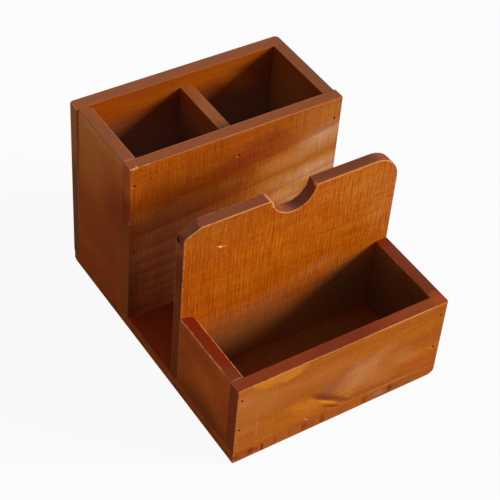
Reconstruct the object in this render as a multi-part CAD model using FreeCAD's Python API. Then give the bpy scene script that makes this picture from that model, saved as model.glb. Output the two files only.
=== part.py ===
import FreeCAD, Part
import math
import os

# A desk organiser nailed up from one thickness of planed pine board.  A base carries an open
# tray at the front, a tall notched panel behind the tray, an open slot, and a two-pocket box
# at the rear.  Every joint is a plain butt joint held by small brads, and nothing moves.
#
# Millimetres, +Z up.  X runs across, Y from the front of the tray (-Y) to the back of the box.
# The origin is the middle of the base's underside.

# ---------------------------------------------------------------- driving dimensions
WIDTH = 150.0               # outside width of the base and of every full-width board
BOARD = 8.5                 # thickness of the pine that the boards are cut from
BACK_BOARD = 9.3            # thickness of the back board, which was planed a little less
TRAY_DEPTH = 56.0           # clear depth of the front tray, front board to tall panel
SLOT_DEPTH = 54.0           # clear depth of the open slot between panel and rear box
BOX_DEPTH = 56.0            # clear depth of the rear box's pockets
TRAY_WALL = 55.0            # height of the tray's walls above the base
PANEL_WALL = 123.5          # height of the tall panel above the base
BOX_WALL = 122.5            # height of the rear box's walls above the base
DIVIDER_DROP = 9.0          # how far the divider's top lies below the rear box's rim
LEFT_POCKET = 63.5          # clear width of the left pocket; the right one takes the rest
BACK_OVERHANG = 1.6         # how far the back board's left end stands proud, at the rim
BACK_OVERHANG_FOOT = 0.4    # the same at the base, as the end was sawn a little out of square
BOX_FRONT_OVERHANG = 1.3    # how far the rear box's front board stands proud on the right

ARRIS = 0.5                 # rounding of a sanded edge
FRONT_CORNER = 1.8          # rounding of the upright corners at the tray's front
REAR_CORNER = 3.0           # rounding of the upright corners at the back
BASE_ROUND = 6.0            # round-over of the base's lower edge, at the rear and on the right
WALL_EASE = 4.5             # rounding of one upright edge on the left walls and the divider

PANEL_CORNER_RIGHT = 18.0   # radius of the tall panel's top right corner
LEFT_CUT_ALONG = 10.8       # the slanting cut at its top left corner, along the top edge
LEFT_CUT_DOWN = 5.0         # how far the cut reaches down the end, at the panel's front
LEFT_CUT_TWIST = 2.4        # how much further down it reaches at the panel's back
LEFT_CUT_EASE = 1.8         # rounding of the cut's two ends, at the front
LEFT_CUT_EASE_BACK = 8.0    # the same at the back, where it was sanded round
NOTCH_RADIUS = 15.1         # radius of the finger notch in the panel's top edge
NOTCH_SHIFT = -1.0          # notch centre, sideways from the middle of the panel
NOTCH_LIFT = 0.9            # notch centre, above the panel's top edge
NOTCH_LIP = 4.0             # rounding of the notch's left lip; the right lip is left sharp

NAIL_LENGTH = 20.0          # brad, head to point
NAIL_SHANK = 0.55           # radius of a brad's shank
NAIL_HEAD = 0.8             # radius of a brad's head
NAIL_HEAD_THICK = 0.9       # thickness of the head
NAIL_POINT = 2.2            # length of the tapered point
NAIL_TIP = 0.12             # radius of the blunt end of the point
NAIL_SET = 0.4              # how far a head is punched below the surface
NAIL_FIT = 0.03             # clearance all round a brad in its hole

TRAY_NAIL_DROP = 9.3        # upper tray brads, below the tray's rim
TRAY_NAIL_RISE = 19.3       # lower tray brads, above the base
BOX_NAIL_DROP = 14.3        # upper box brads, below the rim of the wall they hold
BOX_NAIL_RISE = 55.5        # lower box brads, above the base
DIVIDER_NAIL_DROP = 9.2     # upper divider brads, below the divider's top
BASE_NAIL_INSET = 22.0      # outer base brads, in from the base's left and right edges

# ---------------------------------------------------------------- stations worked out from them
LEFT = -WIDTH / 2
RIGHT = WIDTH / 2
DEPTH = 3 * BOARD + BACK_BOARD + TRAY_DEPTH + SLOT_DEPTH + BOX_DEPTH
FRONT = -DEPTH / 2
BACK = DEPTH / 2

PANEL_Y = FRONT + BOARD + TRAY_DEPTH        # front face of the tall panel
BOX_Y = PANEL_Y + BOARD + SLOT_DEPTH        # front face of the rear box
BOX_BACK_Y = BACK - BACK_BOARD              # front face of the back board
DIVIDER_X = LEFT + BOARD + LEFT_POCKET      # left face of the divider

TRAY_TOP = BOARD + TRAY_WALL
PANEL_TOP = BOARD + PANEL_WALL
BOX_TOP = BOARD + BOX_WALL
DIVIDER_TOP = BOX_TOP - DIVIDER_DROP

TOLERANCE = 1e-4


# ---------------------------------------------------------------- helpers
def block(x_span, y_span, z_span):
    """A plain board between two values on each axis."""
    sizes = [high - low for low, high in (x_span, y_span, z_span)]
    corner = FreeCAD.Vector(x_span[0], y_span[0], z_span[0])
    return Part.makeBox(sizes[0], sizes[1], sizes[2], corner)


def edges_at(shape, x=None, y=None, z=None):
    """The shape's edges that lie wholly at the given coordinates."""
    wanted = [(axis, value) for axis, value in enumerate((x, y, z)) if value is not None]
    found = []
    for edge in shape.Edges:
        box = edge.BoundBox
        lows = (box.XMin, box.YMin, box.ZMin)
        highs = (box.XMax, box.YMax, box.ZMax)
        if all(abs(lows[axis] - value) < TOLERANCE and abs(highs[axis] - value) < TOLERANCE
               for axis, value in wanted):
            found.append(edge)
    return found


def rounded(shape, radius, x=None, y=None, z=None):
    """The shape with the edges at those coordinates rounded."""
    return shape.makeFillet(radius, edges_at(shape, x, y, z))


def brad(at, direction, clearance=0.0, proud=0.0):
    """A brad driven at a point of the surface, or with a clearance the hole that it fills."""
    head_low = NAIL_SET - proud
    head_high = NAIL_SET + NAIL_HEAD_THICK
    tip = NAIL_SET + NAIL_LENGTH + clearance
    head = NAIL_HEAD + clearance
    shank = NAIL_SHANK + clearance
    outline = [
        (0.0, head_low),
        (head, head_low),
        (head, head_high),
        (shank, head_high),
        (shank, tip - NAIL_POINT),
        (NAIL_TIP + clearance, tip),
        (0.0, tip),
    ]
    points = [FreeCAD.Vector(radius, 0, depth) for radius, depth in outline]
    face = Part.Face(Part.makePolygon(points + points[:1]))
    solid = face.revolve(FreeCAD.Vector(0, 0, 0), FreeCAD.Vector(0, 0, 1), 360)
    turn = FreeCAD.Rotation(FreeCAD.Vector(0, 0, 1), FreeCAD.Vector(*direction))
    solid.Placement = FreeCAD.Placement(FreeCAD.Vector(*at), turn)
    return solid


def nail_hole(at, direction):
    """The hole that one brad fills, open at the surface where its head was punched in."""
    return brad(at, direction, clearance=NAIL_FIT, proud=2 * NAIL_SET)


# ---------------------------------------------------------------- boards
def make_base():
    """The base, whose lower edge is rounded over at the rear and on the right."""
    base = block((LEFT, RIGHT), (FRONT, BACK), (0, BOARD))
    base = rounded(base, ARRIS, x=LEFT, y=FRONT)
    base = rounded(base, FRONT_CORNER, x=RIGHT, y=FRONT)
    base = rounded(base, REAR_CORNER, x=LEFT, y=BACK)
    base = rounded(base, REAR_CORNER, x=RIGHT, y=BACK)
    base = rounded(base, ARRIS, z=BOARD)
    over = block((LEFT, RIGHT), (FRONT, BACK), (0, BOARD))
    over = over.makeFillet(BASE_ROUND, edges_at(over, x=RIGHT, z=0) + edges_at(over, y=BACK, z=0))
    over = rounded(over, ARRIS, x=LEFT, z=0)
    over = rounded(over, ARRIS, y=FRONT, z=0)
    return base.common(over)


def make_tray_front():
    """The tray's front board, across the whole width with its upright corners eased."""
    board = block((LEFT, RIGHT), (FRONT, FRONT + BOARD), (BOARD, TRAY_TOP))
    board = rounded(board, ARRIS, x=LEFT, y=FRONT)
    board = rounded(board, FRONT_CORNER, x=RIGHT, y=FRONT)
    return rounded(board, ARRIS, z=TRAY_TOP)


def make_wall(x_low, y_span, top, eased):
    """A short board between two full-width ones; an eased one has its right rear edge rounded."""
    x_high = x_low + BOARD
    board = block((x_low, x_high), y_span, (BOARD, top))
    if eased:
        board = rounded(board, WALL_EASE, x=x_high, y=y_span[1])
    board = rounded(board, ARRIS, x=x_low, z=top)
    return rounded(board, ARRIS, x=x_high, z=top)


def make_panel():
    """The tall panel: two rounded top corners and a finger notch in the top edge."""
    notch_x = NOTCH_SHIFT
    notch_z = PANEL_TOP + NOTCH_LIFT
    lip_z = PANEL_TOP - NOTCH_LIP
    reach = NOTCH_RADIUS + NOTCH_LIP
    lip_x = notch_x - math.sqrt(reach ** 2 - (notch_z - lip_z) ** 2)
    lip_turn = math.atan2(notch_z - lip_z, notch_x - lip_x)
    right_lip_turn = -math.asin(NOTCH_LIFT / NOTCH_RADIUS)
    right_lip_x = notch_x + NOTCH_RADIUS * math.cos(right_lip_turn)
    right_x = RIGHT - PANEL_CORNER_RIGHT
    right_z = PANEL_TOP - PANEL_CORNER_RIGHT

    def outline(y, down, ease):
        """The panel's outline at one depth, where the left cut reaches this far down."""
        def at(x, z):
            return FreeCAD.Vector(x, y, z)

        def line(start, end):
            return Part.LineSegment(at(*start), at(*end)).toShape()

        def arc(centre_x, centre_z, radius, from_angle, to_angle):
            """An arc through the angle halfway between its two ends."""
            angles = (from_angle, (from_angle + to_angle) / 2, to_angle)
            ends = [at(centre_x + radius * math.cos(a), centre_z + radius * math.sin(a))
                    for a in angles]
            return Part.Arc(*ends).toShape()

        slope = math.atan2(down, LEFT_CUT_ALONG)
        square_on = slope + math.pi / 2             # the way that the cut faces
        low_back = ease * math.tan((math.pi / 2 - slope) / 2)
        high_back = ease * math.tan(slope / 2)
        low_z = PANEL_TOP - down - low_back
        high_x = LEFT + LEFT_CUT_ALONG + high_back
        low_end = (LEFT + low_back * math.cos(slope),
                   PANEL_TOP - down + low_back * math.sin(slope))
        high_end = (LEFT + LEFT_CUT_ALONG - high_back * math.cos(slope),
                    PANEL_TOP - high_back * math.sin(slope))
        return Part.Wire([
            line((LEFT, BOARD), (LEFT, low_z)),
            arc(LEFT + ease, low_z, ease, math.pi, square_on),
            line(low_end, high_end),
            arc(high_x, PANEL_TOP - ease, ease, square_on, math.pi / 2),
            line((high_x, PANEL_TOP), (lip_x, PANEL_TOP)),
            arc(lip_x, lip_z, NOTCH_LIP, math.pi / 2, lip_turn),
            arc(notch_x, notch_z, NOTCH_RADIUS, lip_turn - math.pi, right_lip_turn),
            line((right_lip_x, PANEL_TOP), (right_x, PANEL_TOP)),
            arc(right_x, right_z, PANEL_CORNER_RIGHT, math.pi / 2, 0.0),
            line((RIGHT, right_z), (RIGHT, BOARD)),
            line((RIGHT, BOARD), (LEFT, BOARD)),
        ])

    front = outline(PANEL_Y, LEFT_CUT_DOWN, LEFT_CUT_EASE)
    back = outline(PANEL_Y + BOARD, LEFT_CUT_DOWN + LEFT_CUT_TWIST, LEFT_CUT_EASE_BACK)
    panel = Part.makeLoft([front, back], True, True)
    rim = [edge for y in (PANEL_Y, PANEL_Y + BOARD) for edge in edges_at(panel, y=y)
           if edge.BoundBox.ZMax > BOARD + TOLERANCE]
    return panel.makeFillet(ARRIS, rim)


def make_rear_front():
    """The rear box's front board, across the whole width and a little proud on the right."""
    right_end = RIGHT + BOX_FRONT_OVERHANG
    board = block((LEFT, right_end), (BOX_Y, BOX_Y + BOARD), (BOARD, BOX_TOP))
    board = rounded(board, ARRIS, x=LEFT, y=BOX_Y)
    board = rounded(board, ARRIS, x=right_end, y=BOX_Y)
    return rounded(board, ARRIS, z=BOX_TOP)


def make_rear_back():
    """The back board, sawn a little long on the left, with its upright rear corners rounded."""
    outline = [
        (LEFT - BACK_OVERHANG_FOOT, BOARD),
        (RIGHT, BOARD),
        (RIGHT, BOX_TOP),
        (LEFT - BACK_OVERHANG, BOX_TOP),
    ]
    corners = [FreeCAD.Vector(x, BOX_BACK_Y, z) for x, z in outline]
    face = Part.Face(Part.makePolygon(corners + corners[:1]))
    board = face.extrude(FreeCAD.Vector(0, BACK_BOARD, 0))
    left_arris = [edge for edge in edges_at(board, y=BOX_BACK_Y)
                  if edge.BoundBox.ZLength > BOARD and edge.BoundBox.XMax < 0]
    board = board.makeFillet(ARRIS, left_arris)
    rear_uprights = [edge for edge in edges_at(board, y=BACK) if edge.BoundBox.ZLength > BOARD]
    board = board.makeFillet(REAR_CORNER, rear_uprights)
    return rounded(board, ARRIS, z=BOX_TOP)


TRAY_SPAN = (FRONT + BOARD, PANEL_Y)
BOX_SPAN = (BOX_Y + BOARD, BOX_BACK_Y)

boards = {
    "base_board": make_base(),
    "tray_front_board": make_tray_front(),
    "tray_left_side": make_wall(LEFT, TRAY_SPAN, TRAY_TOP, eased=True),
    "tray_right_side": make_wall(RIGHT - BOARD, TRAY_SPAN, TRAY_TOP, eased=False),
    "tall_panel": make_panel(),
    "rear_front_board": make_rear_front(),
    "rear_back_board": make_rear_back(),
    "rear_left_side": make_wall(LEFT, BOX_SPAN, BOX_TOP, eased=True),
    "rear_right_side": make_wall(RIGHT - BOARD, BOX_SPAN, BOX_TOP, eased=False),
    "divider": make_wall(DIVIDER_X, BOX_SPAN, DIVIDER_TOP, eased=True),
}

# ---------------------------------------------------------------- brads
# Each joint's brads, in a node of their own: the two boards that they pin together, and for
# each brad the point where it was driven in and the way it points.  They were driven by hand,
# so each one strays a little from its line: (sideways, up).
INTO_BACK = (0, 1, 0)
INTO_FRONT = (0, -1, 0)
UP = (0, 0, 1)

LEFT_WALL_X = LEFT + BOARD / 2
RIGHT_WALL_X = RIGHT - BOARD / 2
DIVIDER_MID_X = DIVIDER_X + BOARD / 2

TRAY_NAIL_HEIGHTS = (TRAY_TOP - TRAY_NAIL_DROP, BOARD + TRAY_NAIL_RISE)
BOX_NAIL_HEIGHTS = (BOX_TOP - BOX_NAIL_DROP, BOARD + BOX_NAIL_RISE)
DIVIDER_NAIL_HEIGHTS = (DIVIDER_TOP - DIVIDER_NAIL_DROP, BOARD + BOX_NAIL_RISE)


def wall_brads(x, face_y, direction, heights, strays):
    """A pair of brads through a full-width board's face into the end of a wall behind it."""
    return [((x + stray[0], face_y, height + stray[1]), direction)
            for height, stray in zip(heights, strays)]


def base_brads(places):
    """Brads driven up through the base at those places."""
    return [((x, y, 0), UP) for x, y in places]


def base_row(middle_y):
    """Three brads up into the full-width board whose middle is at that place."""
    inner = RIGHT - BASE_NAIL_INSET
    return base_brads([(x, middle_y) for x in (-inner, 0.0, inner)])


def joint(cover, wall, drives):
    """The two boards that one group of brads holds together, and its brads."""
    return {"cover": cover, "wall": wall, "drives": drives}


TRAY_MIDDLE_Y = sum(TRAY_SPAN) / 2
BOX_MIDDLE_Y = sum(BOX_SPAN) / 2

joints = {
    "tray_front_nails_left": joint("tray_front_board", "tray_left_side", wall_brads(
        LEFT_WALL_X, FRONT, INTO_BACK, TRAY_NAIL_HEIGHTS, ((-1.2, 0.1), (-1.5, 1.1)))),
    "tray_front_nails_right": joint("tray_front_board", "tray_right_side", wall_brads(
        RIGHT_WALL_X, FRONT, INTO_BACK, TRAY_NAIL_HEIGHTS, ((-0.9, -0.1), (-1.5, -1.0)))),
    "tall_panel_nails_left": joint("tall_panel", "tray_left_side", wall_brads(
        LEFT_WALL_X, PANEL_Y + BOARD, INTO_FRONT, TRAY_NAIL_HEIGHTS, ((-0.4, 0.6), (0.5, -0.3)))),
    "tall_panel_nails_right": joint("tall_panel", "tray_right_side", wall_brads(
        RIGHT_WALL_X, PANEL_Y + BOARD, INTO_FRONT, TRAY_NAIL_HEIGHTS, ((0.6, -0.5), (-0.3, 0.8)))),
    "rear_front_nails_left": joint("rear_front_board", "rear_left_side", wall_brads(
        LEFT_WALL_X, BOX_Y, INTO_BACK, BOX_NAIL_HEIGHTS, ((-0.9, 0.7), (0.0, 0.0)))),
    "rear_front_nails_right": joint("rear_front_board", "rear_right_side", wall_brads(
        RIGHT_WALL_X, BOX_Y, INTO_BACK, BOX_NAIL_HEIGHTS, ((0.7, -0.7), (0.2, 0.9)))),
    "rear_front_nails_divider": joint("rear_front_board", "divider", wall_brads(
        DIVIDER_MID_X, BOX_Y, INTO_BACK, DIVIDER_NAIL_HEIGHTS, ((0.1, 0.0), (-0.5, -0.8)))),
    "rear_back_nails_left": joint("rear_back_board", "rear_left_side", wall_brads(
        LEFT_WALL_X, BACK, INTO_FRONT, BOX_NAIL_HEIGHTS, ((0.6, -0.4), (-0.1, 1.2)))),
    "rear_back_nails_right": joint("rear_back_board", "rear_right_side", wall_brads(
        RIGHT_WALL_X, BACK, INTO_FRONT, BOX_NAIL_HEIGHTS, ((-0.7, 0.9), (-0.2, -0.6)))),
    "rear_back_nails_divider": joint("rear_back_board", "divider", wall_brads(
        DIVIDER_MID_X, BACK, INTO_FRONT, DIVIDER_NAIL_HEIGHTS, ((0.3, -0.6), (0.4, 0.5)))),
    "base_nails_tray_front": joint("base_board", "tray_front_board", base_row(FRONT + BOARD / 2)),
    "base_nails_tall_panel": joint("base_board", "tall_panel", base_row(PANEL_Y + BOARD / 2)),
    "base_nails_rear_front": joint("base_board", "rear_front_board", base_row(BOX_Y + BOARD / 2)),
    "base_nails_rear_back": joint("base_board", "rear_back_board", base_row(BACK - BACK_BOARD / 2)),
    "base_nails_tray_left": joint("base_board", "tray_left_side", base_brads(
        [(LEFT_WALL_X, TRAY_MIDDLE_Y)])),
    "base_nails_tray_right": joint("base_board", "tray_right_side", base_brads(
        [(RIGHT_WALL_X, TRAY_MIDDLE_Y)])),
    "base_nails_rear_left": joint("base_board", "rear_left_side", base_brads(
        [(LEFT_WALL_X, BOX_MIDDLE_Y)])),
    "base_nails_rear_right": joint("base_board", "rear_right_side", base_brads(
        [(RIGHT_WALL_X, BOX_MIDDLE_Y)])),
    "base_nails_divider": joint("base_board", "divider", base_brads(
        [(DIVIDER_MID_X, BOX_MIDDLE_Y)])),
}

nails = {}
for name, held in joints.items():
    nails[name] = Part.makeCompound([brad(at, way) for at, way in held["drives"]])
    for at, way in held["drives"]:
        hole = nail_hole(at, way)
        boards[held["cover"]] = boards[held["cover"]].cut(hole)
        boards[held["wall"]] = boards[held["wall"]].cut(hole)

# ---------------------------------------------------------------- one file for each node
os.makedirs("parts", exist_ok=True)
for name, shape in {**boards, **nails}.items():
    solids = shape.Solids
    print(f"{name}: {len(solids)} solid(s), valid {shape.isValid()}, {shape.Volume:.1f} mm3")
    shape.exportStep(f"parts/{name}.step")
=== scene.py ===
# %% [markdown]
# # A nailed pine desk organiser, dressed for a studio picture
#
# The object is a small organiser nailed up from planed pine boards: an open tray at the
# front, a tall panel with a finger notch, an open slot, and a box with two pockets at the
# rear. It was stained orange-brown and given a semi-gloss clear lacquer.
#
# Every board and brad is already in its true place, so this lesson is about finish: how
# stained wood is described with noise and distances, and how a plain white studio is lit.

# %% Load the frame
import functools
import math
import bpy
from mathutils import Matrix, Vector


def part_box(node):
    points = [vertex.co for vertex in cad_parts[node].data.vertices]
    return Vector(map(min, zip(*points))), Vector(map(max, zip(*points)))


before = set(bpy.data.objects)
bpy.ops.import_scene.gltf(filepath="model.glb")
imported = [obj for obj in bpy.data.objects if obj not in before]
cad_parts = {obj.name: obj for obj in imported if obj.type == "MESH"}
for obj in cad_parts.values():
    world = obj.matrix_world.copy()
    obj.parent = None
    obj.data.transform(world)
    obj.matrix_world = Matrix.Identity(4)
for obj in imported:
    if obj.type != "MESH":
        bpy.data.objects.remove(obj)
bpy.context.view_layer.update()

import types

import bpy
from mathutils import Matrix, Vector

MM = 0.001  # Blender works in metres here, and the boards in millimetres
print("pieces:", len(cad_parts))

# %% [markdown]
# ## The camera
#
# The organiser is seen from above its front left corner through a long lens, which keeps
# its edges almost parallel. The camera could be aimed with a constraint, but three angles
# say more plainly what the view is: yaw (the compass direction), pitch (how far down) and
# roll (a slight tilt).

# %% Aim the camera
CAMERA_PLACE = (-409.07, -559.74, 708.02)  # mm
CAMERA_YAW = 0.627  # radians, from +Y towards +X
CAMERA_PITCH = 0.755  # radians, downwards
CAMERA_ROLL = 0.091  # radians
CAMERA_LENS = 109.87  # mm
SENSOR_WIDTH = 36  # mm


def camera_turn(yaw, pitch, roll):
    """The camera's rotation as a matrix whose columns are its right, up and backward axes."""
    forward = Vector((math.sin(yaw) * math.cos(pitch), math.cos(yaw) * math.cos(pitch), -math.sin(pitch)))
    level = Vector((math.cos(yaw), -math.sin(yaw), 0))
    upright = level.cross(forward)
    right = math.cos(roll) * level + math.sin(roll) * upright
    up = math.cos(roll) * upright - math.sin(roll) * level
    return Matrix((right, up, -forward)).transposed().to_4x4()


def in_scene(name, data):
    """A new object with that camera, mesh or lamp, linked to the scene."""
    thing = bpy.data.objects.new(name, data)
    scene.collection.objects.link(thing)
    return thing


scene = bpy.context.scene
scene.view_settings.view_transform = "Standard"
camera_data = bpy.data.cameras.new("studio_camera")
camera_data.lens = CAMERA_LENS
camera_data.sensor_width = SENSOR_WIDTH
camera = in_scene("studio_camera", camera_data)
camera.matrix_world = (Matrix.Translation(Vector(CAMERA_PLACE) * MM)
                       @ camera_turn(CAMERA_YAW, CAMERA_PITCH, CAMERA_ROLL))
scene.camera = camera
print("camera looks down by", round(math.degrees(CAMERA_PITCH), 1), "degrees")

# %% [markdown]
# ## Three helpers for every material
#
# Colours are written as sRGB hex, the way a paint card gives them, but shaders calculate in
# linear light, so one function converts them. Another starts a material with no nodes.
# The third adds a node, sets its options, fills its inputs with values or links, and hands
# back one of its outputs.

# %% Colour and node helpers
COLOURS = {"out": 2, "data_type": "RGBA"}  # a Mix of colours: 0 share, 6 and 7 colours


def linear(colour):
    """An sRGB hex colour as linear red, green, blue and alpha."""
    values = [int(colour[i:i + 2], 16) / 255 for i in (1, 3, 5)]
    return (*[v / 12.92 if v <= 0.04045 else ((v + 0.055) / 1.055) ** 2.4 for v in values], 1.0)


def bare_material(name):
    """A new material, and its node tree with nothing in it."""
    material = bpy.data.materials.new(name)
    material.use_nodes = True
    material.node_tree.nodes.clear()
    return material, material.node_tree


def add(tree, kind, inputs=(), out=0, **options):
    """Adds a node with its options, values and links, and returns one output."""
    node = tree.nodes.new("ShaderNode" + kind)
    for key, value in options.items():
        setattr(node, key, value)
    pairs = inputs.items() if isinstance(inputs, dict) else enumerate(inputs)
    for key, value in pairs:
        if isinstance(value, bpy.types.NodeSocket):
            tree.links.new(value, node.inputs[key])
        else:
            node.inputs[key].default_value = value
    return node.outputs[out] if node.outputs else None


print("orange stain in linear light:", [round(v, 3) for v in linear("#B0600F")])

# %% [markdown]
# ## The white studio
#
# A small product is usually shot on a sheet of white paper in front of one lamp, with white
# card to lift the shade. The paper could be a curved sweep, but the camera looks down, so a
# flat sheet is enough. Most of its brightness is plain white, and the rest is the light
# that really falls on it, so the organiser still casts a soft shadow.
#
# Lacquer would mirror that much white as a veil over every board. In a studio a polarising
# filter takes the veil away. Here the paper is dimmer for a ray off a gloss.

# %% Floor
FLOOR_HALF = 6.0  # metres
PAPER_WHITE = "#EDEDED"
PAPER_GLOW = 0.93  # how much of the paper shows as plain white
PAPER_IN_GLOSS = 0.02  # how bright that white is in the lacquer's gloss
WHITE = (1, 1, 1, 1)

floor_mesh = bpy.data.meshes.new("studio_floor")
floor_mesh.from_pydata([(-FLOOR_HALF, -FLOOR_HALF, 0), (FLOOR_HALF, -FLOOR_HALF, 0),
                        (FLOOR_HALF, FLOOR_HALF, 0), (-FLOOR_HALF, FLOOR_HALF, 0)],
                       [], [(0, 1, 2, 3)])
floor = in_scene("studio_floor", floor_mesh)


def who_looks(tree):
    """Two values: 1 for rays from the camera or glass, and 1 for rays off a gloss."""
    ray = add(tree, "LightPath").node.outputs
    direct = add(tree, "Math", [ray["Is Camera Ray"], ray["Is Transmission Ray"]], operation="MAXIMUM")
    return direct, ray["Is Glossy Ray"]


paper, tree = bare_material("white_paper")
lit = add(tree, "BsdfDiffuse", {"Color": linear(PAPER_WHITE)})
direct, in_gloss = who_looks(tree)
white = add(tree, "MapRange", [in_gloss, 0.0, 1.0, 1.0, PAPER_IN_GLOSS])
plain = add(tree, "Emission", {"Color": WHITE, "Strength": white})
share = add(tree, "Math", [direct, PAPER_GLOW, in_gloss], operation="MULTIPLY_ADD")
add(tree, "OutputMaterial", {"Surface": add(tree, "MixShader", [share, lit, plain])})
floor_mesh.materials.append(paper)
print("floor:", 2 * FLOOR_HALF, "m square")

# %% [markdown]
# ## Lamps
#
# The key lamp stands to the front right, fairly low, so the fronts of the boards are lit,
# their left sides are in shade, and each wall throws a soft shadow into the tray and the
# pockets. A lamp can't be dimmed in a gloss alone, so the key is two suns in one place:
# the strong one is hidden from the lacquer's gloss, and the weak one makes its glints.
#
# A large white card on the left gives the shaded sides their light, and the world is dim,
# because a dark room is what keeps the pockets deep.

# %% Key, card and world
KEY_TURN = 34.0  # degrees, from +X towards the front
KEY_RISE = 16.0  # degrees above the floor
KEY_STRENGTH = 4.7  # watts per square metre
KEY_IN_GLOSS = 0.1  # the share of it that shows in the lacquer's gloss
KEY_WIDTH = 22.0  # degrees
CARD_PLACE = (-700.0, 0.0, 90.0)  # mm
CARD_SIZE = (900.0, 160.0)  # mm, wide and high
CARD_POWER = 0.3  # watts
ROOM_DIFFUSE = 0.27  # how bright the room is for the light that it sheds
ROOM_SEEN = 0.8  # what the camera would see of the room
ROOM_IN_GLOSS = 0.15  # what the lacquer's gloss sees of it


def faces(direction):
    """The rotation that turns a lamp's back, its +Z, to a direction."""
    return Vector(direction).to_track_quat("Z", "Y").to_matrix().to_4x4()


turn, rise = math.radians(KEY_TURN), math.radians(KEY_RISE)
key_from = (math.cos(turn) * math.cos(rise), -math.sin(turn) * math.cos(rise), math.sin(rise))
for name, share, in_gloss in (("key_lamp", 1 - KEY_IN_GLOSS, False), ("key_glint", KEY_IN_GLOSS, True)):
    key_data = bpy.data.lights.new(name, "SUN")
    key_data.energy = KEY_STRENGTH * share
    key_data.angle = math.radians(KEY_WIDTH)
    key = in_scene(name, key_data)
    key.visible_glossy = in_gloss
    key.matrix_world = faces(key_from)

card_data = bpy.data.lights.new("white_card", "AREA")
card_data.shape = "RECTANGLE"
card_data.size = CARD_SIZE[0] * MM
card_data.size_y = CARD_SIZE[1] * MM
card_data.energy = CARD_POWER
card = in_scene("white_card", card_data)
card.visible_glossy = False
card.matrix_world = Matrix.Translation(Vector(CARD_PLACE) * MM) @ faces((-1, 0, 0))

world = bpy.data.worlds.new("studio_room")
world.use_nodes = True
scene.world = world
tree = world.node_tree
tree.nodes.clear()
direct, in_gloss = who_looks(tree)
level = add(tree, "MapRange", [in_gloss, 0.0, 1.0, ROOM_DIFFUSE, ROOM_IN_GLOSS])
level = add(tree, "MapRange", {"Value": direct, "To Min": level, "To Max": ROOM_SEEN})
room = add(tree, "Background", {"Color": WHITE, "Strength": level})
add(tree, "OutputWorld", {"Surface": room})
print("key lamp is", KEY_RISE, "degrees up and", KEY_WIDTH, "degrees wide")

# %% [markdown]
# ## Wood starts as a direction
#
# A board remembers the tree: fibres run along it, and the growth rings are long tubes
# around a pith that is usually outside it. So every pattern below is written in
# millimetres along the grain, across it and through the board. It then runs through the
# board and turns into end grain at the saw cut, which an image wrapped around the outside
# would not do.
#
# Blender's noise lies mostly between 0.3 and 0.7, so each pattern stretches a range around
# 0.5 to the one that it needs. The narrower that range, the harder its patches' edges.

# %% Places in millimetres, and streaks
NOISE = (0.3, 0.7)  # where most of the noise lies


def place_in_mm(tree):
    """The x, y and z of the point being shaded, in millimetres."""
    place = add(tree, "TexCoord", out="Object")
    place = add(tree, "VectorMath", {0: place, "Scale": 1 / MM}, operation="SCALE")
    return add(tree, "SeparateXYZ", [place]).node.outputs[:3]


def streaks(tree, grain, length, width, seed, detail=2.0):
    """Noise in patches of about that length along the grain and that width across it."""
    far_away = (seed * 17.3, seed * 5.1, seed * 9.7)  # a different place in the noise
    stretched = add(tree, "VectorMath", [grain, (1 / length, 1 / width, 1 / width), far_away],
                    operation="MULTIPLY_ADD")
    return add(tree, "TexNoise", {"Vector": stretched, "Scale": 1.0, "Detail": detail})


def grains(tree, place, size, detail, out=0):
    """Noise in patches of about that size in every direction."""
    shrunk = add(tree, "VectorMath", {0: place, "Scale": 1 / size}, operation="SCALE")
    return add(tree, "TexNoise", {"Vector": shrunk, "Scale": 1.0, "Detail": detail}, out=out)


print("grain runs across the wide boards, and front to back in the base")

# %% [markdown]
# ## Growth rings
#
# A ring is pale where the tree grew fast in spring, darkens slowly, and ends in a hard line
# at the year's end. Rings could be drawn with a Wave texture, but a real board is cut from
# a trunk, so here a ring's number is the distance from the pith divided by the width of a
# ring. The pith leans and bends a little against the board, which draws long arches on a
# face and close lines on an edge.

# %% Growth rings
RING_WAVER = (70.0, 24.0)  # mm along and across the grain over which a ring wavers
SPRING_LASTS = 2.2  # power of the rise: higher keeps more of a ring pale
YEAR_ENDS = 0.90  # where in a ring the dark line starts to stop


def growth_rings(tree, grain, board):
    """0 in early wood, rising to 1 at the dark line that ends each year's ring."""
    along, across, through = add(tree, "SeparateXYZ", [grain]).node.outputs[:3]
    sides = []
    for side, pith, lean, bend in zip((across, through), board["pith"], board["lean"], board["bend"]):
        slope = add(tree, "Math", [along, bend, lean], operation="MULTIPLY_ADD")
        centre = add(tree, "Math", [along, slope, pith], operation="MULTIPLY_ADD")
        sides.append(add(tree, "Math", [side, centre], operation="SUBTRACT"))
    flat = add(tree, "CombineXYZ", sides)
    radius = add(tree, "VectorMath", [flat], out="Value", operation="LENGTH")
    wander = add(tree, "MapRange", [streaks(tree, grain, *RING_WAVER, board["seed"]),
                                    0.25, 0.75, -board["wobble"], board["wobble"]])
    year = add(tree, "Math", [radius, board["ring"]], operation="DIVIDE")
    year = add(tree, "Math", [year, wander], operation="ADD")
    part = add(tree, "Math", [year], operation="FRACT")
    rise = add(tree, "Math", [part, SPRING_LASTS], operation="POWER")
    drop = add(tree, "MapRange", [part, YEAR_ENDS, 1.0, 1.0, 0.0], interpolation_type="SMOOTHSTEP")
    return add(tree, "Math", [rise, drop], operation="MULTIPLY")


print("a ring wavers over", RING_WAVER[0], "mm of its length")

# %% [markdown]
# ## Edges that hands have worn
#
# Lacquer is thin on a sharp arris and wears through first, so most open edges have a fine,
# uneven, paler line. Blender has a Bevel node that finds edges, but it is slow and can't
# tell an open edge from one that is butted against another board. Distances do it better:
# near an open edge a point is close to two open sides at once, so the second smallest of
# its distances to them is small. Where a board is butted against another, dirt gathers
# instead, and the same distances draw a dark line.

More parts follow.
